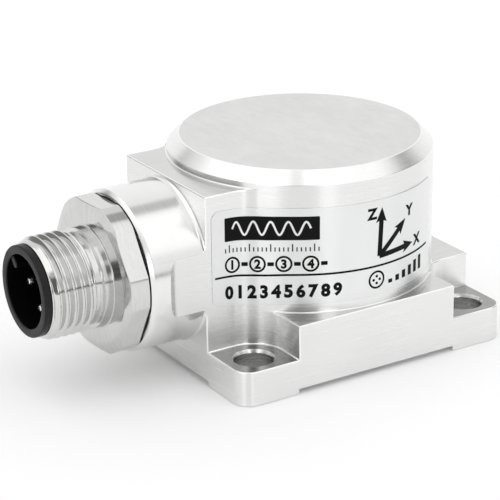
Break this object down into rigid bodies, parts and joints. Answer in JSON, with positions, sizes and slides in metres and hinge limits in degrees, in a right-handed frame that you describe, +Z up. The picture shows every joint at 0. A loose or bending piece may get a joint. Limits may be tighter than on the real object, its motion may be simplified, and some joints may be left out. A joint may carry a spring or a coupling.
{
  "type": "vibration sensor",
  "caption": "Compact vibration sensor with a round machined metal body on a flat base with corner screw tabs, a side-facing threaded round connector and a wrap-around label.",
  "frame": {"origin": "middle of the whole sensor's footprint, on the plane of the four feet", "axes": "+Z up along the round body's axis, away from the feet; the connector points along -X; the label faces -Y"},
  "size_m": [0.0552, 0.0326, 0.025],
  "materials": {
    "machined_aluminium": "fine milled and turned",
    "nickel_plated": "bright nickel plate",
    "black_rubber": "satin",
    "black_plastic": "moulded",
    "label_film": "satin printed film",
    "stainless_steel": "plain",
    "circuit_board_green": "solder mask",
    "chip_black": "moulded",
    "ceramic_tan": "fired ceramic",
    "header_plastic": "moulded",
    "wire_white": "insulation",
    "wire_brown": "insulation",
    "wire_blue": "insulation",
    "wire_black": "insulation"
  },
  "bodies": {
    "root": {"housing": "machined_aluminium", "bottom_cover": "machined_aluminium", "cover_gasket": "black_rubber", "cover_screw_1": "stainless_steel", "cover_screw_2": "stainless_steel", "cover_screw_3": "stainless_steel", "cover_screw_4": "stainless_steel", "label": "label_film", "connector_shell": "nickel_plated", "connector_seal": "black_rubber", "connector_insert": "black_plastic", "contact_pin_1": "nickel_plated", "contact_pin_2": "nickel_plated", "contact_pin_3": "nickel_plated", "contact_pin_4": "nickel_plated", "circuit_board": "circuit_board_green", "board_screw_1": "stainless_steel", "board_screw_2": "stainless_steel", "board_screw_3": "stainless_steel", "accelerometer": "chip_black", "microcontroller": "chip_black", "line_transceiver": "chip_black", "voltage_regulator": "chip_black", "power_inductor": "chip_black", "surge_diode": "chip_black", "capacitor_1": "ceramic_tan", "capacitor_2": "ceramic_tan", "capacitor_3": "ceramic_tan", "board_header": "header_plastic", "wire_plug": "header_plastic", "lead_wire_1": "wire_brown", "lead_wire_2": "wire_white", "lead_wire_3": "wire_blue", "lead_wire_4": "wire_black"}
  },
  "joints": []
}
